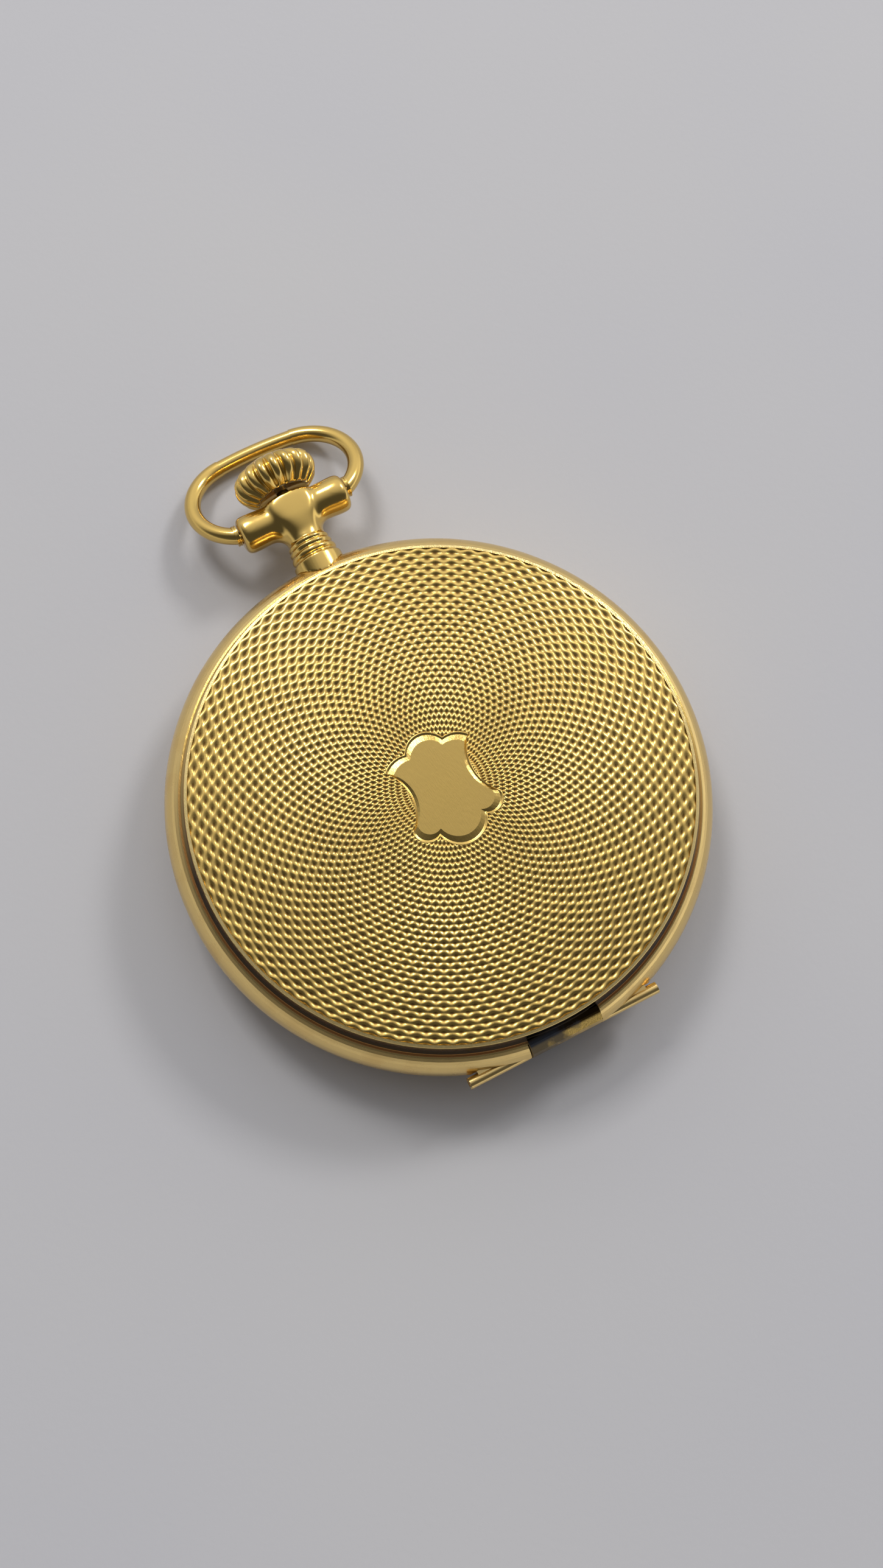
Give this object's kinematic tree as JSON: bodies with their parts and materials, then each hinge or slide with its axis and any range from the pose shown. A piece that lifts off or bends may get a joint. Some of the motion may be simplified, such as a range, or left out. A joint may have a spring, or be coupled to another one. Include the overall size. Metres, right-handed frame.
{
  "type": "pocket watch",
  "caption": "Full hunter pocket watch: round case with sprung front cover, hinged back and inner covers, bow and fluted crown at three o'clock, and a stem-wound lever movement.",
  "frame": {"origin": "centre of the small flat on the back cover, on the case's axis", "axes": "+X towards the pendant at three o'clock, +Y towards twelve, +Z out of the front cover"},
  "size_m": [0.0656, 0.0504, 0.0103],
  "materials": {
    "polished_gold": "polished yellow gold",
    "engraved_gold": "engine-turned and polished yellow gold",
    "pale_gold": "satin-polished pale gold",
    "gilt_brass": "frosted gilt brass",
    "nickel_plate": "striped nickel plate",
    "polished_steel": "polished steel",
    "blued_steel": "heat-blued steel",
    "screw_gold": "turned gold",
    "ruby": "polished synthetic ruby",
    "glass": "polished",
    "enamel": "fired enamel"
  },
  "bodies": {
    "case": {"case_band": "pale_gold", "pendant": "pale_gold", "pendant_sleeve": "polished_steel", "front_hinge_pin": "polished_steel", "back_hinge_pin": "polished_steel", "bezel": "polished_gold", "crystal": "glass", "lift_spring": "polished_steel", "lock_spring": "polished_steel", "case_screws": "blued_steel", "main_plate": "gilt_brass", "barrel_bridge": "nickel_plate", "train_bridge": "nickel_plate", "balance_cock": "nickel_plate", "pallet_bridge": "nickel_plate", "crown_wheel_core": "polished_steel", "click_spring": "polished_steel", "setting_lever": "polished_steel", "yoke": "polished_steel", "hairspring": "blued_steel", "hairspring_stud": "polished_steel", "jewels": "ruby", "bridge_screws": "blued_steel", "dial": "enamel"},
    "front_cover": {"front_cover": "engraved_gold"},
    "back_cover": {"back_cover": "engraved_gold"},
    "cuvette": {"cuvette": "polished_gold"},
    "bow": {"bow": "polished_gold"},
    "winding_pinion": {"winding_pinion": "polished_steel", "clutch_wheel": "polished_steel"},
    "crown": {"crown": "polished_gold", "stem": "polished_steel"},
    "crown_wheel": {"crown_wheel": "polished_steel"},
    "ratchet": {"ratchet_wheel": "polished_steel", "barrel_arbor": "polished_steel"},
    "barrel": {"mainspring_barrel": "gilt_brass", "barrel_lid": "gilt_brass", "mainspring": "polished_steel"},
    "centre_wheel": {"centre_wheel": "gilt_brass", "cannon_pinion": "polished_steel", "minute_hand": "blued_steel"},
    "third_wheel": {"third_wheel": "gilt_brass"},
    "fourth_wheel": {"fourth_wheel": "gilt_brass", "seconds_hand": "blued_steel"},
    "escape_wheel": {"escape_wheel": "polished_steel"},
    "pallet_fork": {"pallet_fork": "polished_steel", "pallet_stones": "ruby"},
    "balance": {"balance_wheel": "gilt_brass", "balance_screws": "screw_gold", "balance_staff": "polished_steel"},
    "hour_wheel": {"hour_wheel": "gilt_brass", "hour_hand": "blued_steel"},
    "minute_wheel": {"minute_wheel": "gilt_brass"},
    "setting_wheel": {"setting_wheel": "polished_steel"},
    "click": {"click": "polished_steel"},
    "regulator": {"regulator": "polished_steel"}
  },
  "joints": [
    {"name": "front_cover_hinge", "type": "hinge", "parent": "case", "child": "front_cover", "pos_m": [-0.02425, 0, 0.00572], "axis": [0, -1, 0], "range_deg": [0, 90]},
    {"name": "back_cover_hinge", "type": "hinge", "parent": "case", "child": "back_cover", "pos_m": [-0.02425, 0, 0.00448], "axis": [0, 1, 0], "range_deg": [0, 95]},
    {"name": "cuvette_hinge", "type": "hinge", "parent": "case", "child": "cuvette", "pos_m": [-0.02425, 0, 0.00448], "axis": [0, 1, 0], "range_deg": [0, 72]},
    {"name": "bow_swing", "type": "hinge", "parent": "case", "child": "bow", "pos_m": [0.03093, 0, 0.0051], "axis": [0, -1, 0], "range_deg": [-118, 168]},
    {"name": "crown_turn", "type": "hinge", "parent": "case", "child": "winding_pinion", "pos_m": [0.0163, 0, 0.0051], "axis": [1, 0, 0], "continuous": true},
    {"name": "crown_slide", "type": "slide", "parent": "winding_pinion", "child": "crown", "axis": [1, 0, 0], "range_m": [-0.00035, 0.0008]},
    {"name": "crown_wheel_turn", "type": "hinge", "parent": "case", "child": "crown_wheel", "pos_m": [0.013, 0, 0.004], "axis": [0, 0, 1], "continuous": true},
    {"name": "ratchet_turn", "type": "hinge", "parent": "case", "child": "ratchet", "pos_m": [0.00451, 0.00848, 0.004], "axis": [0, 0, 1], "continuous": true},
    {"name": "centre_wheel_turn", "type": "hinge", "parent": "case", "child": "centre_wheel", "pos_m": [0, 0, 0.004], "axis": [0, 0, -1], "continuous": true},
    {"name": "barrel_turn", "type": "hinge", "parent": "case", "child": "barrel", "pos_m": [0.00451, 0.00848, 0.004], "axis": [0, 0, -1], "continuous": true},
    {"name": "third_wheel_turn", "type": "hinge", "parent": "case", "child": "third_wheel", "pos_m": [0.00397, -0.00601, 0.004], "axis": [0, 0, -1], "continuous": true},
    {"name": "fourth_wheel_turn", "type": "hinge", "parent": "case", "child": "fourth_wheel", "pos_m": [0, -0.011, 0.004], "axis": [0, 0, -1], "continuous": true},
    {"name": "escape_wheel_turn", "type": "hinge", "parent": "case", "child": "escape_wheel", "pos_m": [-0.00551, -0.00948, 0.004], "axis": [0, 0, -1], "continuous": true},
    {"name": "hour_wheel_turn", "type": "hinge", "parent": "case", "child": "hour_wheel", "pos_m": [0, 0, 0.004], "axis": [0, 0, -1], "continuous": true},
    {"name": "minute_wheel_turn", "type": "hinge", "parent": "case", "child": "minute_wheel", "pos_m": [0.00338, 0.00123, 0.004], "axis": [0, 0, -1], "continuous": true},
    {"name": "setting_wheel_turn", "type": "hinge", "parent": "case", "child": "setting_wheel", "pos_m": [0.0083, 0.00063, 0.004], "axis": [0, 0, -1], "continuous": true},
    {"name": "balance_swing", "type": "hinge", "parent": "case", "child": "balance", "pos_m": [-0.0126, -0.0046, 0.004], "axis": [0, 0, -1], "range_deg": [-270, 270], "stiffness_Nm_per_rad": 0.000001},
    {"name": "pallet_fork_swing", "type": "hinge", "parent": "case", "child": "pallet_fork", "pos_m": [-0.00799, -0.00777, 0.004], "axis": [0, 0, -1], "range_deg": [-5, 5]},
    {"name": "click_lift", "type": "hinge", "parent": "case", "child": "click", "pos_m": [-0.00474, 0.01425, 0.0022], "axis": [0, 0, 1], "range_deg": [0, 12], "stiffness_Nm_per_rad": 0.000001},
    {"name": "regulator_turn", "type": "hinge", "parent": "case", "child": "regulator", "pos_m": [-0.0126, -0.0046, 0.0019], "axis": [0, 0, -1], "range_deg": [-20, 20]}
  ],
  "couplings": [
    {"joint": "cuvette_hinge", "follows": "back_cover_hinge", "ratio": 0.75},
    {"joint": "crown_wheel_turn", "follows": "crown_turn", "ratio": 0.4},
    {"joint": "ratchet_turn", "follows": "crown_turn", "ratio": -0.2},
    {"joint": "barrel_turn", "follows": "centre_wheel_turn", "ratio": -0.14286},
    {"joint": "third_wheel_turn", "follows": "centre_wheel_turn", "ratio": -8},
    {"joint": "fourth_wheel_turn", "follows": "centre_wheel_turn", "ratio": 60},
    {"joint": "escape_wheel_turn", "follows": "centre_wheel_turn", "ratio": -600},
    {"joint": "hour_wheel_turn", "follows": "centre_wheel_turn", "ratio": 0.083333},
    {"joint": "minute_wheel_turn", "follows": "centre_wheel_turn", "ratio": -0.33333},
    {"joint": "setting_wheel_turn", "follows": "centre_wheel_turn", "ratio": 0.4},
    {"joint": "pallet_fork_swing", "follows": "balance_swing", "ratio": -0.018519}
  ]
}
